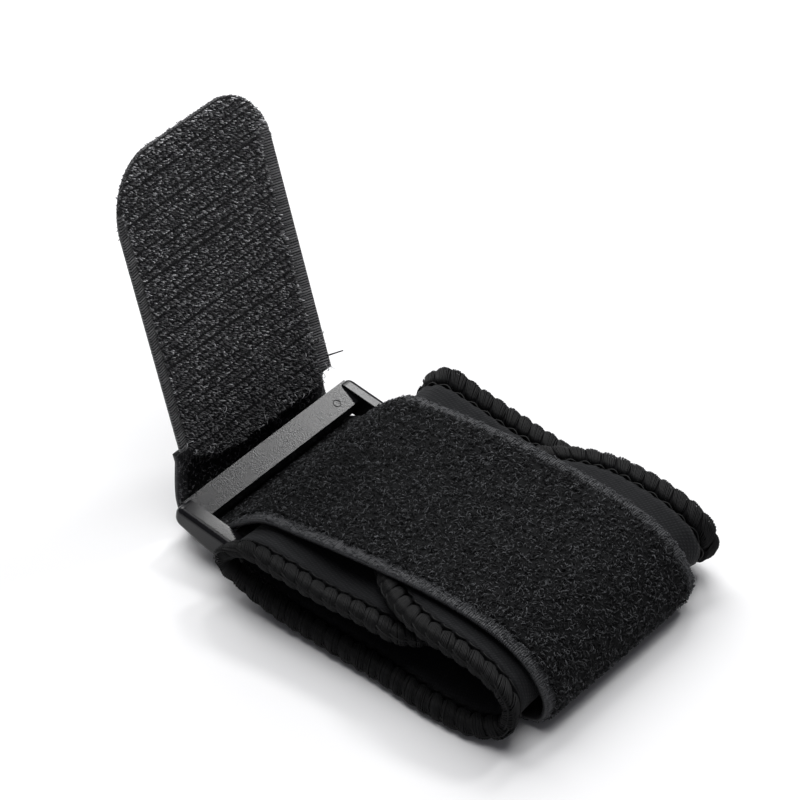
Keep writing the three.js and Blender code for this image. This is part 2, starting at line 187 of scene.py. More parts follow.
def lay_band(u, v):
    first = 2.4  # leaves a short straight edge at each tip
    p = first + u * (outline.round / 2 - 2 * first)
    s, reach = outline.inset(p, EDGE_WIDTH + EDGE_GAP)
    y = (1 - 2 * v) * reach
    from_edge = reach - np.abs(y)
    pucker = PUCKER * np.exp(-from_edge / PUCKER_REACH) * np.cos(2 * math.pi * p / STITCH_PITCH)
    sway = 0.10 * np.sin(s / 7.3 + y / 19) + 0.07 * np.sin(s / 4.1 - y / 8.7)  # slow, shallow waves
    return band_fold.place(s, y, pucker + sway), np.stack([s, y], 1)


class Shade:
    """A value on its way through a material's nodes. Sums on it add the Math nodes that they need."""

    def __init__(self, tree, socket):
        self.tree = tree
        self.socket = socket

    def node(self, kind, settings, inputs, output=0):
        """Adds any node: its settings first, then the values or links of its sockets."""
        made = self.tree.nodes.new(kind)
        for name, value in settings.items():
            setattr(made, name, value)
        for name, value in inputs.items():
            if isinstance(value, Shade):
                self.tree.links.new(value.socket, made.inputs[name])
            else:
                made.inputs[name].default_value = value
        return Shade(self.tree, made.outputs[output])

    def math(self, operation, *values):
        return self.node("ShaderNodeMath", {"operation": operation}, dict(enumerate(values)))

    def __add__(self, other):
        return self.math("ADD", self, other)

    def __sub__(self, other):
        return self.math("SUBTRACT", self, other)

    def __rsub__(self, other):
        return self.math("SUBTRACT", other, self)

    def __mul__(self, other):
        return self.math("MULTIPLY", self, other)

    __radd__ = __add__
    __rmul__ = __mul__

    def axis(self, name):
        return self.node("ShaderNodeSeparateXYZ", {}, {0: self}, name)

    def wave(self, period):
        """Swings from 0 to 1 and back over each period."""
        return 0.5 + 0.5 * self.math("SINE", self * (2 * math.pi / period))

    def noise(self, scale, detail=2.0):
        return self.node("ShaderNodeTexNoise", {}, {"Vector": self, "Scale": scale, "Detail": detail})

    def tint(self, dark, light):
        """From one colour to another as the value goes from 0 to 1."""
        sockets = {0: self, 6: (*dark, 1), 7: (*light, 1)}
        return self.node("ShaderNodeMix", {"data_type": "RGBA"}, sockets, 2)

    def bump(self, depth, strength=1.0):
        sockets = {"Height": self, "Distance": depth * MM, "Strength": strength}
        return self.node("ShaderNodeBump", {}, sockets)

    def into(self, shader, socket):
        self.tree.links.new(self.socket, shader.inputs[socket])


def new_material(piece, name, fixed):
    """A new material on a piece: its shader, and the piece's flat and solid coordinates."""
    material = bpy.data.materials.new(name)
    material.use_nodes = True
    tree = material.node_tree
    shader = tree.nodes["Principled BSDF"]
    for socket, value in fixed.items():
        shader.inputs[socket].default_value = value
    piece.data.materials.clear()
    piece.data.materials.append(material)
    coordinates = tree.nodes.new("ShaderNodeTexCoord")
    return shader, Shade(tree, coordinates.outputs["UV"]), Shade(tree, coordinates.outputs["Object"])


def knit_material(piece):
    """Fine jersey: slanting courses about half a millimetre apart, worn a little paler in patches."""
    shader, flat, solid = new_material(
        piece, "black_knit", {"Specular IOR Level": 0.12, "Sheen Weight": 0.05, "Sheen Roughness": 0.45}
    )
    s, y = flat.axis("X"), flat.axis("Y")
    courses = (s + 0.45 * y).wave(0.62) * (y - 0.3 * s).wave(0.9)
    cloudy = solid.noise(160, 3.0)
    grain = solid.noise(2600, 1.0)
    tone = 0.45 * courses + 0.35 * cloudy + 0.25 * grain
    tone.tint((0.0075, 0.0080, 0.0088), (0.024, 0.0245, 0.0265)).into(shader, "Base Color")
    (0.78 + 0.16 * cloudy).into(shader, "Roughness")
    (courses + 0.8 * grain).bump(0.09, 0.8).into(shader, "Normal")


wrist_band = lay_grid("wrist_band_knit", 190, 44, lay_band)
thicken(wrist_band, BAND_WALL)
knit_material(wrist_band)
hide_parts("wrist_band")
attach(wrist_band, "root")


# Overlocked edge: black thread whipped over the raw edge of the band, all the way round, in lobes one
# stitch long, with the needle's own thread sunk in a line along the inner side on both faces.
EDGE_THICK = 3.6
CORE_SWELL = 0.74  # size of the bare edge against that of the thread over it
THREADS_A_STITCH = 11
THREAD = 0.17  # radius of a turn
PURL_THREAD = 0.19
NEEDLE_THREAD = 0.2
LOBE_NARROWS = 0.26  # by this share from the middle of a lobe to its ends
LOBE_THINS = 0.12
THREAD_SLANT = 2.2  # how far along the edge a turn leans on each face
edge_random = np.random.default_rng(11)
stitches = round(outline.round / STITCH_PITCH)
pitch = outline.round / stitches  # so that a whole number of them goes round


def threads(name, paths, radius, facing, sides, tone):
    """One mesh of many closed threads. paths: thread, point, xyz in metres. radius: in mm, one for all or
    by thread and point. facing: a direction that a thread does not run along. tone: a shade for each
    thread, 0 dark and 1 pale, or past either."""
    count, points = paths.shape[:2]
    along = np.gradient(paths, axis=1)
    side = np.cross(along, facing)
    side /= np.linalg.norm(side, axis=-1, keepdims=True)
    up = np.cross(along, side)
    up /= np.linalg.norm(up, axis=-1, keepdims=True)
    turn = 2 * math.pi * np.arange(sides)[:, None] / sides
    spoke = side[:, :, None] * np.cos(turn) + up[:, :, None] * np.sin(turn)
    ring = paths[:, :, None] + MM * np.broadcast_to(radius, (count, points))[:, :, None, None] * spoke
    corner = np.arange(count * points * sides).reshape(count, points, sides)
    after = np.roll(corner, -1, axis=2)
    walls = np.stack([corner[:, :-1], after[:, :-1], after[:, 1:], corner[:, 1:]], axis=-1).reshape(-1, 4)
    caps = np.concatenate([corner[:, 0, ::-1], corner[:, -1]])
    mesh = bpy.data.meshes.new(name)
    mesh.from_pydata(ring.reshape(-1, 3), [], [*walls.tolist(), *caps.tolist()], shade_flat=False)
    mesh.attributes.new("tone", "FLOAT", "POINT").data.foreach_set("value", np.repeat(tone, points * sides))
    piece = bpy.data.objects.new(name, mesh)
    bpy.context.collection.objects.link(piece)
    return piece


def on_edge(p, share, h):
    """A point of the edge: p round the band, share of the edge's width from its inner side, h out."""
    s, y = outline.inset(p, EDGE_WIDTH * (1 - share))
    return band_fold.place(s, y, h)


def round_edge(angle, swell):
    """Share of the width and height at an angle round the edge's section, 0 at the rim."""
    across, out = np.cos(angle), np.sin(angle)
    share = 0.5 + 0.5 * swell * np.sign(across) * np.abs(across) ** 0.75
    return share, 0.5 * EDGE_THICK * swell * np.sign(out) * np.abs(out) ** 0.75


def lay_edge_core():
    """A torus drawn out along the band's outline: the bare edge inside the thread."""
    bpy.ops.object.select_all(action="DESELECT")
    bpy.ops.mesh.primitive_torus_add(
        major_segments=620, minor_segments=12, major_radius=1, minor_radius=0.25
    )
    piece = bpy.context.object
    piece.name = "edge_core"
    place = np.empty(len(piece.data.vertices) * 3)
    piece.data.vertices.foreach_get("co", place)
    x, y, z = place.reshape(-1, 3).T
    p = outline.round * (np.arctan2(y, x) / (2 * math.pi) % 1)
    share, h = round_edge(np.arctan2(z, np.hypot(x, y) - 1), CORE_SWELL)
    piece.data.vertices.foreach_set("co", on_edge(p, share, h).ravel())
    bpy.ops.object.mode_set(mode="EDIT")
    bpy.ops.mesh.select_all(action="SELECT")
    bpy.ops.mesh.normals_make_consistent(inside=False)
    bpy.ops.object.mode_set(mode="OBJECT")
    bpy.ops.object.shade_smooth()
    return piece


def whip_edge():
    """Every turn of thread over the edge, fanned and swelling in the middle of each lobe."""
    lobe = np.linspace(-1, 1, THREADS_A_STITCH, endpoint=False) + 1 / THREADS_A_STITCH
    at = (np.arange(stitches)[:, None] + 0.5 + 0.5 * lobe).ravel()
    lobe = np.tile(lobe, stitches)[:, None]
    jitter = edge_random.normal(0, 0.05, (len(at), 1))
    angle = np.radians(np.linspace(158, -158, 9))[None]  # from one face round the rim to the other
    share = round_edge(angle, 1.0 - LOBE_NARROWS * np.abs(lobe) ** 2.5 + 0.3 * jitter)[0]
    h = round_edge(angle, 1.0 - LOBE_THINS * np.abs(lobe) ** 3 + 0.3 * jitter)[1]
    slant = THREAD_SLANT * (share - 1) * np.sign(h + 1e-9)
    p = at[:, None] * pitch + jitter + slant - 0.16 * pitch * lobe * (1 - share) ** 2
    paths = on_edge(p, share, h)
    ahead = on_edge(p + 0.4, share, h) - on_edge(p - 0.4, share, h)
    radius = THREAD * (1 + edge_random.normal(0, 0.08, (len(at), 1)))
    return threads("edge_thread", paths, radius, ahead, 5, edge_random.random(len(at)))


def purl_chain():
    """The chain where the loopers' threads meet: long strands that overlap along the rim."""
    reach = 0.85  # of a strand either way, in stitches
    t = np.linspace(-reach, reach, 9)[None]
    p = (np.arange(stitches)[:, None] + 0.5 + t) * pitch + edge_random.normal(0, 0.12, (stitches, 1))
    share = 0.8 + 0.18 * np.cos(math.pi * t / (2 * reach)) + edge_random.normal(0, 0.012, (stitches, 1))
    h = 0.45 - 0.55 * t + edge_random.normal(0, 0.12, (stitches, 1))
    paths = on_edge(p, share, h)
    outward = on_edge(p, share, h + 0.5) - paths
    return threads("purl_chain", paths, PURL_THREAD, outward, 5, edge_random.random(stitches))


def needle_line(face):
    """The needle's stitches along the inner side of the edge, on one face of the band."""
    t = np.linspace(0.02, 0.98, 7)[None]
    p = (np.arange(stitches)[:, None] + t) * pitch
    wander = 0.26 * np.cos(2 * math.pi * t) + edge_random.normal(0, 0.05, (stitches, 1))
    lift = face * (0.5 * BAND_WALL - 0.16 + 0.3 * np.sin(math.pi * t))
    share = -(0.22 + wander) / EDGE_WIDTH
    paths = on_edge(p, share, lift)
    outward = on_edge(p, share, lift + 0.5 * face) - paths
    radius = NEEDLE_THREAD * np.sin(math.pi * (0.08 + 0.84 * t)) ** 0.4
    return threads("needle_line", paths, radius, outward, 5, edge_random.random(stitches) * 0.3)


def join_pieces(name, pieces):
    """Joins pieces into the first of them, under a new name."""
    bpy.ops.object.select_all(action="DESELECT")
    for piece in pieces:
        piece.select_set(True)
    bpy.context.view_layer.objects.active = pieces[0]
    bpy.ops.object.join()
    pieces[0].name = name
    return pieces[0]


def thread_material(piece, name, dark, light, rough, shine=0.12):
    """Spun thread: each one its own shade, with fine fluff."""
    shader, _, solid = new_material(piece, name, {"Specular IOR Level": shine})
    tone = solid.node("ShaderNodeAttribute", {"attribute_name": "tone"}, {}, "Fac")
    fluff = solid.noise(2200, 2.0)
    (0.55 * tone + 0.5 * fluff).tint(dark, light).into(shader, "Base Color")
    (rough + 0.2 * fluff).into(shader, "Roughness")
    fluff.bump(0.12, 0.7).into(shader, "Normal")


edge_core = lay_edge_core()
thread_material(edge_core, "edge_shadow", (0.006, 0.006, 0.0065), (0.010, 0.010, 0.011), 0.8)
edge_thread = join_pieces("edge_thread", [whip_edge(), purl_chain(), needle_line(1), needle_line(-1)])
thread_material(edge_thread, "black_thread", (0.0030, 0.0031, 0.0033), (0.0095, 0.0097, 0.0102), 0.52, 0.2)
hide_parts("overlocked_edge")
for piece in (edge_core, edge_thread):
    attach(piece, "root")


# Pile strap: woven tape 50 mm wide, brushed to a thick pile on its outer face between two bare ribbed
# borders. It is sewn under the band, drawn over the fold and through the ring, and ends behind the tab.
STRAP_ROWS = [
    (27.0, 0.9, 25.0, 0.0, 0.0),  # sewn end, under the band
    (36.0, 0.9, 25.0, 0.0, 0.0),
    (45.0, 0.9, 25.0, 0.0, 0.0),
    (48.0, 0.9, 25.0, 0.0, 0.0),
    (52.5, 1.2, 25.0, 0.0, 0.0),
    (58.5, 2.9, 25.0, 0.0, 0.0),
    (60.0, 8.0, 25.0, 0.0, 0.0),  # right fold
    (56.2, 14.4, 25.0, -0.3, 0.0),
    (49.4, 18.5, 25.0, -0.5, 0.0),
    (38.0, 20.7, 25.0, -0.4, 0.0),
    (24.0, 21.2, 25.0, 0.4, 0.0),  # crest
    (8.0, 20.3, 25.0, 1.5, 0.0),
    (-7.0, 18.7, 25.0, 2.2, 0.0),
    (-15.6, 17.2, 25.0, 2.3, 0.0),  # brow over the ring
    (-22.4, 12.2, 24.8, 1.4, 0.0),
    (-27.9, 6.4, 24.6, 0.6, 0.0),  # in the slot
    (-33.0, 3.7, 24.4, 0.0, 0.0, 0.4),
    (-37.4, 1.7, 24.0, 0.0, 0.0, 1.0),  # turning up
    (-40.3, 7.6, 23.6, 0.0, 0.0, 1.1),
    (-41.19, 16.44, 22.4, 0.0, 0.0, 2.0),  # behind the tab
    (-41.5, 17.5, 22.4, 0.0, 0.0, 2.0),
    (-41.81, 18.55, 22.4, 0.0, 0.0, 2.0),
]
WEB = 1.0  # thickness of the woven tape
WEB_MIDDLE = -0.4  # out of the middle of tape and pile together
BORDER = 2.5  # width of the bare border on each side
RIB = 0.5  # pitch of its ribs
RIB_THREAD = 0.3  # their radius
MAT = 0.3  # thickness of the pile's matted foot
FOLD_START = 24.0  # along the strap: where it leaves the floor
FOLD_END = 62.0  # where it lies on the band
TOP_END = 100.0  # where it begins to fall toward the ring
SLOT = 131.0  # where it goes down into the ring
TAIL = SLOT + 16  # and where it comes up below the tab
LOOPS = 7400  # on each stretch but the tail
TAIL_LOOPS = 1500
FLUFF_SHARE = 0.055  # of the loops, those that lie on the borders
strap_fold = Fold(STRAP_ROWS)
strap_random = np.random.default_rng(12)


def lay_web(u, v):
    s = u * strap_fold.length
    y = (1 - 2 * v) * strap_fold.half(s)
    return strap_fold.place(s, y, WEB_MIDDLE + 0.05 * np.sin(s / 5 + y / 6)), np.stack([s, y], 1)


def border_ribs():
    """The weft that shows as ribs on the bare borders, turning down over the tape's two edges."""
    s = np.arange(0.4, strap_fold.length - 0.3, RIB)[:, None]
    s = s + strap_random.normal(0, 0.03, s.shape)
    inward = np.array([[BORDER + 0.5, 1.2, 0.3, 0.02, 0.05]])
    h = np.array([[0.06, 0.08, 0.06, -0.12, -0.5]])
    ribs = []
    for side in (-1, 1):
        y = side * (strap_fold.half(s) - inward)
        paths = strap_fold.place(s, y, h + strap_random.normal(0, 0.02, s.shape))
        facing = strap_fold.place(s + 0.5, y, h) - paths
        ribs.append(threads("ribs", paths, RIB_THREAD, facing, 5, strap_random.random(len(s))))
    return join_pieces("strap_borders", ribs)


def lay_mat(u, v):
    """The matted foot of the pile, lumpy, with edges that sink into the borders."""
    s = 0.6 + u * (strap_fold.length - 1.0)
    reach = strap_fold.half(s) - BORDER + 0.15 * np.sin(s * 2.1) + 0.12 * np.sin(s * 5.3)
    y = (1 - 2 * v) * reach
    lumps = strap_random.normal(0, 0.16, len(s))
    in_slot = np.clip((s - SLOT + 6) / 6, 0, 1)
    on_floor = np.clip((FOLD_START - s) / 4, 0, 1)
    crown = np.minimum((reach - np.abs(y)) / 0.9, 1) ** 0.5
    h = 0.12 + crown * (0.5 - 0.15 * np.maximum(in_slot, on_floor) + lumps)
    return strap_fold.place(s, y, np.minimum(h, 0.85)), np.stack([s, y], 1)


def brushed_loops(name, start, end, count, over=0.3):
    """Loops of the pile, brushed every way: bent hairs that rise out of the mat and fall back. They reach
    over the borders by a little, and a few lie on them as fluff."""
    s = strap_random.uniform(start, end, (count, 1))
    reach = strap_fold.half(s) - BORDER
    y = strap_random.uniform(-1, 1, (count, 1)) * (reach + over)
    fluff = strap_random.random((count, 1)) < FLUFF_SHARE
    y = np.where(fluff, np.sign(y) * (reach + BORDER * strap_random.random((count, 1))), y)
    limit = np.where(fluff, reach + BORDER, reach + over + 0.6)
    way = strap_random.uniform(0, 2 * math.pi, (count, 1))
    curl = strap_random.normal(0, 1.6, (count, 1))
    long = strap_random.uniform(0.7, 1.7, (count, 1))
    t = np.array([[0, 0.36, 0.72, 1.0]])
    turn = way + curl * t
    s_path = s + long * (t - 0.5) * np.cos(turn)
    y_path = np.clip(y + long * (t - 0.5) * np.sin(turn), -limit, limit)
    rise = strap_random.uniform(0.2, 0.95, (count, 1)) * np.clip((SLOT + 4 - s) / 8, 0.3, 1)
    fall = strap_random.uniform(0.55, 1.0, (count, 1))
    h = np.where(fluff, 0.25, 0.4) + np.where(fluff, 0.5, 1.0) * rise * np.sin(math.pi * t * fall)
    paths = strap_fold.place(s_path, y_path, h)
    out = strap_fold.place(s_path, y_path, h + 1) - paths
    radius = strap_random.uniform(0.075, 0.125, (count, 1)) * np.array([[0.5, 1.0, 1.0, 0.4]])
    shade = strap_random.random(count)
    tone = np.where(fluff[:, 0], 0.4 + 0.9 * shade, 1.9 * shade ** 3 - 0.35)
    return threads(name, paths, radius, out, 3, tone)


def tape_material(piece, name, dark, light, along, across):
    """Plain woven nylon tape: fine warp and weft, a little shiny."""
    shader, flat, solid = new_material(piece, name, {"Specular IOR Level": 0.3})
    weave = flat.axis("X").wave(along) * flat.axis("Y").wave(across)
    cloudy = solid.noise(300, 2.0)
    (0.6 * weave + 0.4 * cloudy).tint(dark, light).into(shader, "Base Color")
    (0.55 + 0.25 * cloudy).into(shader, "Roughness")
    weave.bump(0.12).into(shader, "Normal")


strap_web = lay_grid("strap_web", 250, 22, lay_web)
thicken(strap_web, WEB)
tape_material(strap_web, "black_web", (0.008, 0.008, 0.009), (0.022, 0.022, 0.024), RIB, 0.5)
strap_borders = border_ribs()
thread_material(strap_borders, "border_weft", (0.037, 0.0377, 0.0397), (0.060, 0.0612, 0.0660), 0.4, 0.32)
strap_mat = lay_grid("strap_mat", 210, 52, lay_mat)
thicken(strap_mat, MAT, -1.0)
thread_material(strap_mat, "pile_foot", (0.005, 0.0052, 0.0056), (0.016, 0.0165, 0.0175), 0.85)
loops = [
    brushed_loops("pile_over_fold", FOLD_START, FOLD_END, LOOPS),
    brushed_loops("pile_on_top", FOLD_END, TOP_END, LOOPS),
    brushed_loops("pile_to_ring", TOP_END, SLOT + 8, LOOPS),
    brushed_loops("pile_below_tab", TAIL, strap_fold.length, TAIL_LOOPS, over=2.4),
]
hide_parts("loop_strap")
for piece in loops[:3]:
    thread_material(piece, "brushed_pile", (0.005, 0.0053, 0.0057), (0.115, 0.118, 0.124), 0.6)
# painted light: the pile below the tab takes paler colours than the rest of the pile, standing in for light
# on a face that the tab and the ring shade
thread_material(loops[3], "pile_below_tab_painted_light", (0.012, 0.012, 0.0128), (0.30, 0.30, 0.31), 0.5)
for piece in (strap_web, strap_borders, strap_mat, *loops):
    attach(piece, "root")


# Hook tab: stiff nylon hook tape sewn to the end of the strap, standing up, with bare ribbed borders,
# round corners above and a raw cut end below. Its face is set all over with small stiff hooks.
TAB_LEAN = math.radians(16.3)
TAB_FOOT = (-38.6, 1.2, 17.2)  # a point of the front, among the hooks, near the raw end
TAB_HALF = 23.6
TAB_LENGTH = 69.8
TAB_CORNER = (13.5, 15.5)  # across and along
TAB_CROWN = TAB_HALF - TAB_CORNER[0]  # half the straight stretch of the upper end
TAB_RAW_END = (  # across, and up
    (-23.6, -19.4, -14.0, -8.0, 18.0, 19.9, 20.6, 23.6),
    (3.2, -0.2, -2.5, -3.6, -3.8, -3.3, -2.0, -2.1),
)
TAB_CUT_SHARE = 0.96  # what the corners and the raw end leave of the flat rectangle
TAPE = 0.95  # thickness of the tape
TAPE_FRONT = -0.3  # its front, behind the tips of the hooks
TAPE_BORDER = {-1: 1.6, 1: 3.5}  # width of the bare borders, near and far
BORDER_FADE = 5.0  # the borders run this far into the round corners
BORDER_TOP = TAB_LENGTH - TAB_CORNER[1] + BORDER_FADE
TAPE_RIB = 0.62  # pitch of their ribs
TAPE_RIB_THREAD = 0.2  # radius
HOOK_WEAVES = 44
HOOK_WEAVE = 1.62  # from weave to weave, up the tape
HOOK_STRIPE = 0.34  # more than that at every fourth
HOOK_START = -4.0  # up from the foot, just below the raw end
HOOK_ROW = 0.42  # from row to row of a weave
HOOK_PITCH = 0.63  # across the tape
HOOK_THICK = 0.11 * np.array([[1.1, 1.0, 0.95, 0.7]])  # radius, from foot to tip
DARKER_REACH = 13.0  # how far above the raw end the hooks are darker
LONG_FRAY = 20.0  # across from the middle: past it, on the near side, the cut ends are longer
ACROSS_FRAY = np.array([1.0, 0.3, 0.2])  # a way in which no cut thread runs
tab_random = np.random.default_rng(13)


def on_tab(y, up, out):
    """A point of the tab: y across, up from its foot, out of its front."""
    lean_x, lean_z = math.sin(TAB_LEAN), math.cos(TAB_LEAN)
    y, up, out = np.broadcast_arrays(y, up, out)
    point = np.stack(
        [
            TAB_FOOT[0] - lean_x * up + lean_z * out,
            TAB_FOOT[1] + y,
            TAB_FOOT[2] + lean_z * up + lean_x * out,
        ],
        axis=-1,
    )
    return MM * (point - MIDDLE)


def tab_foot(y):
    """How far up the raw end is."""
    return np.interp(y, *TAB_RAW_END)


def tab_top(y):
    """How far up the round-cornered upper end is."""
    round_off = np.clip((np.abs(y) - TAB_CROWN) / TAB_CORNER[0], 0, 1)
    return TAB_LENGTH - TAB_CORNER[1] * (1 - np.sqrt(1 - round_off**2))


def lay_tape(u, v):
    y = TAB_HALF * np.sin((1 - 2 * v) * math.pi / 2)
    low, high = tab_foot(y), tab_top(y)
    up = low + u * (high - low)
    return on_tab(y, up, TAPE_FRONT), np.stack([up, y], 1)


def tape_ribs():
    """The bare borders' ribs, which stop where the round corners cut them off."""
    ribs = []
    for side in (-1, 1):
        foot = float(tab_foot(side * TAB_HALF))
        up = np.arange(foot + 0.2, BORDER_TOP, TAPE_RIB)[:, None]
        up = up + tab_random.normal(0, 0.03, up.shape)
        over = np.clip((up - TAB_LENGTH + TAB_CORNER[1]) / TAB_CORNER[1], 0, 1)
        edge = TAB_HALF - TAB_CORNER[0] * (1 - np.sqrt(1 - over**2))
        inner = np.minimum(TAB_HALF - TAPE_BORDER[side] - 0.4, edge - 0.1)
        y = side * (inner + (edge - inner) * np.array([[0, 0.45, 0.95, 1.02, 1.0]]))
        out = TAPE_FRONT + np.array([[0.02, 0.1, 0.03, -0.3, -0.8]])
        out = out + tab_random.normal(0, 0.02, up.shape)
        rib_up = up + 0.25 * (TAB_HALF - np.abs(y))
        paths = on_tab(y, rib_up, out)
        facing = on_tab(y, rib_up + 0.5, out) - paths
        ribs.append(threads("ribs", paths, TAPE_RIB_THREAD, facing, 5, tab_random.random(len(up))))
    return join_pieces("tab_borders", ribs)


def hook_rows():
    """Small stiff hooks in rows across the tape, three rows to a weave, bent over to either side."""
    weave = np.arange(HOOK_WEAVES)
    row_up = HOOK_WEAVE * weave + HOOK_STRIPE * (weave // 4) + HOOK_START
    row_up = row_up + tab_random.normal(0, 0.09, len(weave))
    row_up = np.concatenate([row_up, row_up + HOOK_ROW, row_up + 2 * HOOK_ROW])
    row_y = np.arange(-TAB_HALF, TAB_HALF, HOOK_PITCH)
    up, y = (v.ravel() for v in np.meshgrid(row_up, row_y, indexing="ij"))
    y = y + tab_random.normal(0, 0.16, len(y))
    up = up + tab_random.normal(0, 0.08, len(up))
    border = np.where(y < 0, TAPE_BORDER[-1], TAPE_BORDER[1])
    border = border * np.clip((BORDER_TOP - up) / BORDER_FADE, 0, 1)
    inside = (up > tab_foot(y) + 0.3) & (up < tab_top(y) - 0.3) & (np.abs(y) < TAB_HALF - border)
    y, up = y[inside, None], up[inside, None]
    way = tab_random.normal(-0.3, 0.7, y.shape) + math.pi * tab_random.integers(0, 2, y.shape)
    reach = tab_random.uniform(0.12, 0.32, y.shape) * np.array([[0, 0.1, 0.7, 1.1]])
    rise = tab_random.normal(1, 0.16, y.shape)
    out = TAPE_FRONT - 0.05 + rise * np.array([[0, 0.6, 0.82, 0.5]])
    paths = on_tab(y + reach * np.cos(way), up + reach * np.sin(way), out)
    facing = on_tab(-np.sin(way), np.cos(way), 0.0) - on_tab(0.0, 0.0, 0.0)
    by_border = (y[:, 0] > TAB_HALF - TAPE_BORDER[1] - 1.0) * tab_random.uniform(0, 0.35, len(y))
    by_foot = np.clip((up - tab_foot(y))[:, 0] / DARKER_REACH, 0, 1)
    # the hooks' tones grow darker toward the raw end and paler toward the top
    paler_upward = 0.95 + 0.13 * up[:, 0] / TAB_LENGTH - 0.22 * (1 - by_foot)
    tone = paler_upward * np.minimum(tab_random.random(len(y)) + by_border, 1)
    return threads("hook_rows", paths, HOOK_THICK, facing, 3, tone)


def cut_hooks():
    """Stubs of hooks and warp along the round-cornered end, where the tape was cut."""
    count = 600
    straight = 0.35  # share of them that stand on the straight stretch
    along = tab_random.uniform(-1.0, 1.0, (count, 1))
    corner = np.clip((np.abs(along) - straight) / (1 - straight), 0, 1) * math.pi / 2
    reach = TAB_CROWN * np.minimum(np.abs(along) / straight, 1) + TAB_CORNER[0] * np.sin(corner)
    y = np.sign(along) * reach
    up = TAB_LENGTH - TAB_CORNER[1] * (1 - np.cos(corner))
    t = np.array([[0, 0.5, 0.9, 1.1]])
    outward = np.stack([np.sign(along) * np.sin(corner), np.cos(corner)])
    far = tab_random.uniform(0.05, 0.22, (count, 1)) * np.array([[-0.3, 0.8, 1.0, 0.6]])
    slide = tab_random.normal(0, 0.25, (count, 1)) * t
    depth = tab_random.uniform(-0.1, 0.95, (count, 1))
    out = TAPE_FRONT - depth + tab_random.normal(0, 0.2, (count, 1)) * t
    paths = on_tab(
        y + outward[0] * far + outward[1] * slide,
        up + outward[1] * far - outward[0] * slide,
        out,
    )
    facing = on_tab(0.0, 0.0, 1.0) - on_tab(0.0, 0.0, 0.0)
    return threads("cut_hooks", paths, HOOK_THICK, facing, 3, 0.5 * tab_random.random(count))


def hook_material(piece):
    """Drawn nylon, black, smooth enough to glint. A few hooks are coloured near white, as painted glints.
    """
    shader, _, solid = new_material(piece, "hook_nylon", {"Specular IOR Level": 0.7})
    tone = solid.node("ShaderNodeAttribute", {"attribute_name": "tone"}, {}, "Fac")
    # painted glints: the fourth power keeps most hooks dark and turns the palest few near white
    painted_glint_tone = tone.math("POWER", tone, 4.0)
    painted_glint_tone.tint((0.115, 0.115, 0.120), (0.90, 0.90, 0.92)).into(shader, "Base Color")
    (0.22 + 0.25 * tone).into(shader, "Roughness")


def cut_ends():
    """Ends of warp that stick out of the raw edge, longest at the near corner."""
    y = np.sort(tab_random.uniform(-TAB_HALF, TAB_HALF, 120))[:, None]
    near = np.clip((-y - LONG_FRAY) / 4, 0, 1)
    long = tab_random.uniform(0.3, 1.3, y.shape) + near * tab_random.uniform(0, 2.0, y.shape)
    t = np.linspace(0, 1, 5)[None]
    side = tab_random.normal(0, 0.35, y.shape) - 0.4 * near
    curl = tab_random.normal(0, 0.3, y.shape)
    path = on_tab(
        y + long * side * t**1.5,
        tab_foot(y) + 0.3 - (long + 0.3) * t,
        TAPE_FRONT - 0.5 + tab_random.uniform(-0.4, 0.4, y.shape) + curl * long * t**2,
    )
    radius = tab_random.uniform(0.05, 0.1, y.shape) * (1 - 0.5 * t)
    tone = 0.1 * tab_random.random(len(y)) - 0.45
    return threads("cut_ends", path, radius, ACROSS_FRAY, 4, tone)


def loose_thread():
    """One thread that has slipped out of the far border and points away from it."""
    t = np.linspace(0, 1, 9)[None]
    path = on_tab(TAB_HALF - 0.6 + 4.6 * t, tab_foot(TAB_HALF) + 3.0 - 1.2 * t, -0.2 + 0.4 * t)
    return threads("loose_thread", path, 0.24 - 0.06 * t, np.array([0.0, 0.0, 1.0]), 4, -np.ones(1))


def teased_strands():
    """Pale strands teased up from the face just above the raw end."""
    y = tab_random.uniform(0.5 - TAB_HALF, TAB_HALF - 0.3, (170, 1))
    up = tab_foot(y) + 0.3 + 10.0 * tab_random.random(y.shape) ** 1.6
    way = tab_random.normal(math.pi / 2, 0.45, y.shape)
    t = np.linspace(0, 1, 6)[None]
    turn = way + tab_random.normal(0, 0.9, y.shape) * t
    long = tab_random.uniform(0.7, 1.8, y.shape)
    out = TAPE_FRONT + 0.5 + tab_random.uniform(0.3, 0.7, y.shape) * np.sin(math.pi * t) ** 0.7
    path = on_tab(y + long * (t - 0.5) * np.cos(turn), up + long * (t - 0.5) * np.sin(turn), out)
    radius = 0.075 * np.sin(math.pi * (0.12 + 0.76 * t))
    tone = 1.5 * tab_random.random(len(y)) ** 2 - 0.4
    return threads("teased_strands", path, radius, ACROSS_FRAY, 4, tone)


hook_tape = lay_grid("hook_tape", 90, 40, lay_tape)
thicken(hook_tape, TAPE, -1.0)
tape_material(hook_tape, "hook_tape_ground", (0.014, 0.014, 0.0150), (0.038, 0.038, 0.0400), 0.54, 0.74)
tab_borders = tape_ribs()
thread_material(tab_borders, "tape_weft", (0.030, 0.0305, 0.032), (0.190, 0.190, 0.194), 0.3, 0.5)
hooks = join_pieces("hooks", [hook_rows(), cut_hooks()])
hook_material(hooks)
tab_fray = join_pieces("tab_fray", [cut_ends(), loose_thread(), teased_strands()])
thread_material(tab_fray, "fray_thread", (0.008, 0.008, 0.0085), (0.85, 0.85, 0.87), 0.5)
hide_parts("hook_tab")
for piece in (hook_tape, tab_borders, hooks, tab_fray):
    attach(piece, "root")
tape_flat = (2 * TAB_HALF * MM, (TAB_LENGTH - min(TAB_RAW_END[1])) * MM)
TAB_CUT_SHARE * tape_flat[0] * tape_flat[1]


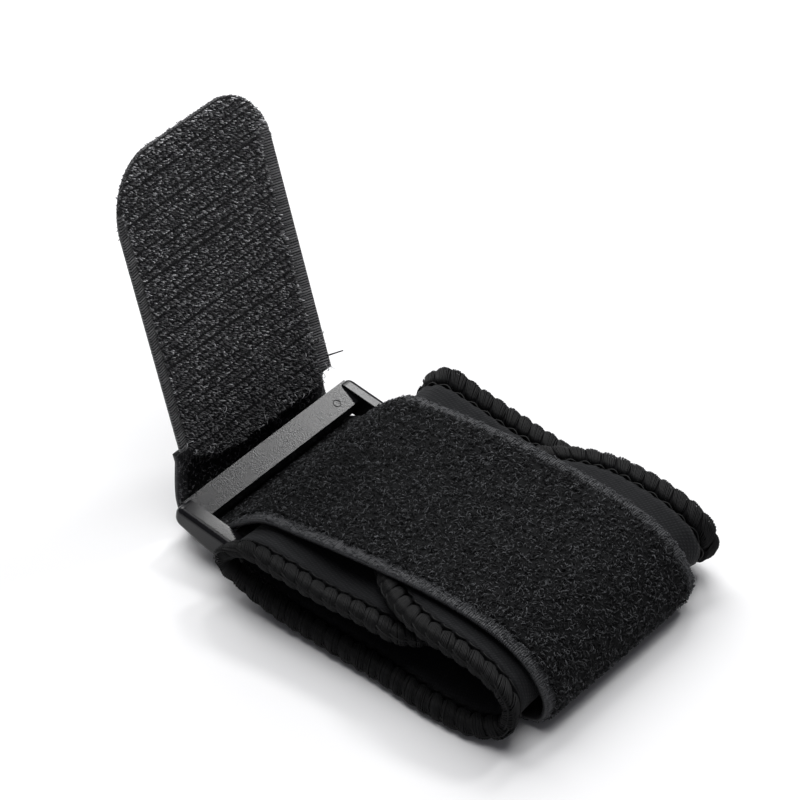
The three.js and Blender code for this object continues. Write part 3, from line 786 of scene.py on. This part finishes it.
# Ring keeper: a short strip of woven webbing looped round the ring's inner bar, with both of its ends
# sewn under the band. Only its fold shows, in the ring's slot.
KEEPER_LINE = [  # x and z of the middle of its wall
    (0.0, 2.1),  # sewn end, upper layer
    (-7.0, 2.75),
    (-12.6, 3.9),
    (-17.0, 6.2),
    (-20.2, 8.25),  # over the bar
    (-23.4, 7.7),
    (-24.3, 4.6),
    (-20.9, 2.7),  # under the bar
    (-15.0, 2.3),
    (-7.0, 1.4),
    (0.0, 0.8),  # sewn end, lower layer
]
KEEPER_HALF = 24.4  # half its width
KEEPER_WALL = 1.1
keeper_fold = Fold([(x, z, KEEPER_HALF, 0.0, 0.0) for x, z in KEEPER_LINE])


def lay_keeper(u, v):
    s = u * keeper_fold.length
    y = (1 - 2 * v) * KEEPER_HALF
    return keeper_fold.place(s, y, 0), np.stack([s, y], 1)


ring_keeper = lay_grid("keeper_webbing", 90, 24, lay_keeper)
thicken(ring_keeper, KEEPER_WALL)
tape_material(ring_keeper, "keeper_weave", (0.007, 0.007, 0.0075), (0.020, 0.020, 0.021), 1.1, 0.9)
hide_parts("ring_keeper")
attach(ring_keeper, "root")


# Ring: moulded black plastic in one piece, two round-cornered cheeks joined by a flat outer bar with a
# sloping top and a slimmer inner bar. It lies in the keeper's loop, with the strap drawn through its slot.
RING_LENGTH = 19.0
RING_INSIDE = 50.1
RING_HEIGHT = 6.4
RING_TILT = math.radians(9.5)
RING_CENTRE = (-27.6, 0.0, 6.8)
UPPER_CORNER = 3.8  # radius of a cheek's upper corner at the inner bar
OTHER_CORNERS = 1.9  # and of its other long corners
FREE_EDGE = RING_LENGTH / 2 - 0.3  # how far out the bars reach
BITE = 1.5  # how far the bars run into the cheeks
OUTER_BAR = 5.7  # width of the flat bar
OUTER_BAR_TOP = 2.95  # at its free edge
OUTER_BAR_LOW = 1.6  # and at the slot
INNER_BAR = 4.4
INNER_BAR_TOP = 1.2
RING_EASE = 0.5  # width of the bevel on the corners that are left
MARK_PLACE = (-6.0, 20.5, 2.18)  # of the round mark that the mould's pin left on the bar
MARK_RADIUS = 0.85
MARK_LINE = 0.11  # radius of the raised line


def block(low, high):
    """A cube primitive drawn out between two corners, in mm."""
    bpy.ops.object.select_all(action="DESELECT")
    low, high = np.array(low), np.array(high)
    bpy.ops.mesh.primitive_cube_add(size=MM, location=MM * (low + high) / 2)
    bpy.ops.transform.resize(value=high - low)
    bpy.ops.object.transform_apply(location=True, rotation=True, scale=True)
    return bpy.context.object


def edges_where(piece, chosen):
    """Selects the edges whose two ends pass the test, and goes into edit mode."""
    bpy.ops.object.mode_set(mode="EDIT")
    bpy.ops.mesh.select_mode(type="EDGE")
    bpy.ops.mesh.select_all(action="DESELECT")
    bpy.ops.object.mode_set(mode="OBJECT")
    for edge in piece.data.edges:
        ends = [piece.data.vertices[i].co / MM for i in edge.vertices]
        edge.select = chosen(*ends)
    bpy.ops.object.mode_set(mode="EDIT")


def cheek(side, wide, thin, soft):
    """An end of the ring, near (-1) or far (1): it thins to the outer bar from below, its long corners are
    rounded, and the face that looks away from the slot is softened all round."""
    half, tall = RING_LENGTH / 2, RING_HEIGHT / 2
    slot_face = side * RING_INSIDE / 2
    away = side * (RING_INSIDE / 2 + wide)
    low, high = sorted((slot_face, away))
    piece = block((-half, low, -tall), (half, high, tall))
    edges_where(piece, lambda a, b: abs(a.x - b.x) > 1 and a.z < 0)
    bpy.ops.mesh.subdivide(number_cuts=1)
    bpy.ops.object.mode_set(mode="OBJECT")
    edges_where(piece, lambda a, b: all(e.z < 0 and e.x < -1 for e in (a, b)))
    bpy.ops.transform.translate(value=(0, 0, (RING_HEIGHT - thin) * MM))
    bpy.ops.object.mode_set(mode="OBJECT")
    edges_where(piece, lambda a, b: abs(a.y - b.y) > 1 and a.x > 1 and a.z > 0)
    bpy.ops.mesh.bevel(offset=UPPER_CORNER * MM, segments=9, affect="EDGES")
    bpy.ops.object.mode_set(mode="OBJECT")
    edges_where(piece, lambda a, b: abs(a.y - b.y) > 1 and abs(a.x) > half - 0.1 and (a.x < 0 or a.z < -1))
    bpy.ops.mesh.bevel(offset=OTHER_CORNERS * MM, segments=7, affect="EDGES")
    bpy.ops.object.mode_set(mode="OBJECT")
    edges_where(piece, lambda a, b: all(abs(e.y - away) < 0.01 for e in (a, b)))
    bpy.ops.mesh.bevel(offset=soft * MM, segments=6, affect="EDGES")
    bpy.ops.object.mode_set(mode="OBJECT")
    return piece


def bar(free, slot_side, bottom, top, slot_top):
    """A bar of the ring. Its top slopes from the free edge to the slot."""
    reach = RING_INSIDE / 2 + BITE
    left, right = sorted((free, slot_side))
    piece = block((left, -reach, bottom), (right, reach, top))
    edges_where(piece, lambda a, b: all(e.z > top - 0.1 and abs(e.x - slot_side) < 0.1 for e in (a, b)))
    bpy.ops.transform.translate(value=(0, 0, (slot_top - top) * MM))
    bpy.ops.object.mode_set(mode="OBJECT")
    return piece


def weld(piece, others):
    """Joins moulded blocks into one skin."""
    bpy.context.view_layer.objects.active = piece
    for other in others:
        union = piece.modifiers.new("weld", "BOOLEAN")
        union.operation = "UNION"
        union.solver = "EXACT"
        union.object = other
        bpy.ops.object.modifier_apply(modifier="weld")
        bpy.data.objects.remove(other)
    return piece


def plastic_material(piece):
    """Spark-eroded grain on black plastic, paler where handling has polished it."""
    shader, _, solid = new_material(piece, "grained_plastic", {"Specular IOR Level": 0.28})
    grain = solid.noise(3300, 2.0)
    rubbed = solid.noise(220, 3.0)
    worn = 0.5 * grain + 0.5 * rubbed
    worn.tint((0.004, 0.004, 0.0048), (0.012, 0.012, 0.0138)).into(shader, "Base Color")
    (0.09 + 0.09 * grain + 0.06 * rubbed).into(shader, "Roughness")
    grain.bump(0.016, 1.0).into(shader, "Normal")


ring = weld(
    cheek(-1, wide=4.15, thin=4.7, soft=1.4),
    [
        cheek(1, wide=3.1, thin=6.2, soft=1.3),
        bar(-FREE_EDGE, OUTER_BAR - FREE_EDGE, bottom=-1.2, top=OUTER_BAR_TOP, slot_top=OUTER_BAR_LOW),
        bar(FREE_EDGE, FREE_EDGE - INNER_BAR, bottom=-1.5, top=INNER_BAR_TOP, slot_top=INNER_BAR_TOP),
    ],
)
ease = ring.modifiers.new("ease", "BEVEL")
ease.width = RING_EASE * MM
ease.segments = 3
ease.limit_method = "ANGLE"
ease.angle_limit = math.radians(40)
bpy.ops.object.modifier_apply(modifier="ease")
bpy.ops.object.select_all(action="DESELECT")
bpy.ops.mesh.primitive_torus_add(
    major_segments=32,
    minor_segments=8,
    major_radius=MARK_RADIUS * MM,
    minor_radius=MARK_LINE * MM,
    location=MM * np.array(MARK_PLACE),
    rotation=(0, math.atan2(OUTER_BAR_TOP - OUTER_BAR_LOW, OUTER_BAR), 0),
)
ring = join_pieces("moulded_ring", [ring, bpy.context.object])
bpy.ops.object.shade_smooth_by_angle(angle=math.radians(35))
ring.rotation_euler = (0, RING_TILT, 0)
ring.location = MM * (np.array(RING_CENTRE) - MIDDLE)
bpy.ops.object.transform_apply(location=True, rotation=True, scale=True)
flat_faces = ring.modifiers.new("flat_faces", "WEIGHTED_NORMAL")
flat_faces.keep_sharp = True
bpy.ops.object.modifier_apply(modifier="flat_faces")
plastic_material(ring)
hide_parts("buckle_ring")
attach(ring, "root")


# The studio: a pale floor, a large soft light behind the strap, weaker ones overhead, at a window and at
# a doorway, a white room, and the camera at the height and distance of the photograph's.
bpy.ops.object.select_all(action="DESELECT")
bpy.ops.mesh.primitive_plane_add(size=6, location=(0, 0, -0.05 * MM))
floor = bpy.context.object
floor.name = "floor"
matt = {"Roughness": 0.6, "Specular IOR Level": 0.2}
floor_shader, _, floor_place = new_material(floor, "pale_floor", matt)
floor_place.noise(3.0).tint((0.86, 0.86, 0.865), (0.88, 0.88, 0.885)).into(floor_shader, "Base Color")

room = bpy.data.worlds.new("white_room")
room.use_nodes = True
room.node_tree.nodes["Background"].inputs["Color"].default_value = (0.92, 0.92, 1.0, 1)
room.node_tree.nodes["Background"].inputs["Strength"].default_value = 0.13
bpy.context.scene.world = room

LAMP_AIM = Vector((0, 0, 0.02))


def soft_light(name, place, size, power):
    """A round soft box at a place, turned toward the strap."""
    lamp = bpy.data.lights.new(name, "AREA")
    lamp.shape = "DISK"
    lamp.size = size
    lamp.energy = power
    holder = bpy.data.objects.new(name, lamp)
    holder.location = place
    holder.rotation_euler = (LAMP_AIM - Vector(place)).to_track_quat("-Z", "Y").to_euler()
    bpy.context.collection.objects.link(holder)


soft_light("behind", (-1.1, 0.58, 1.25), size=1.5, power=26)
soft_light("overhead", (0.05, 0.0, 1.5), size=1.1, power=10)
soft_light("window", (0.124, 1.1, 1.25), size=0.3, power=5.0)
soft_light("doorway", (-0.47, 1.01, 1.25), size=0.3, power=3.4)

CAMERA_AROUND = math.radians(39.293)
CAMERA_UP = math.radians(39.225)
CAMERA_FAR = 0.959019
CAMERA_AIM = Vector((0.000721, -0.0007, 0.041725))
CAMERA_LENS = 208.26  # on a 36 mm sensor
back = Vector(
    (
        math.sin(CAMERA_AROUND) * math.cos(CAMERA_UP),
        -math.cos(CAMERA_AROUND) * math.cos(CAMERA_UP),
        math.sin(CAMERA_UP),
    )
)
camera = bpy.data.objects.new("camera", bpy.data.cameras.new("camera"))
camera.data.lens = CAMERA_LENS
camera.data.sensor_width = 36
camera.location = CAMERA_AIM + CAMERA_FAR * back
camera.rotation_euler = back.to_track_quat("Z", "Y").to_euler()
bpy.context.collection.objects.link(camera)
bpy.context.scene.camera = camera
bpy.context.scene.view_settings.view_transform = "Standard"
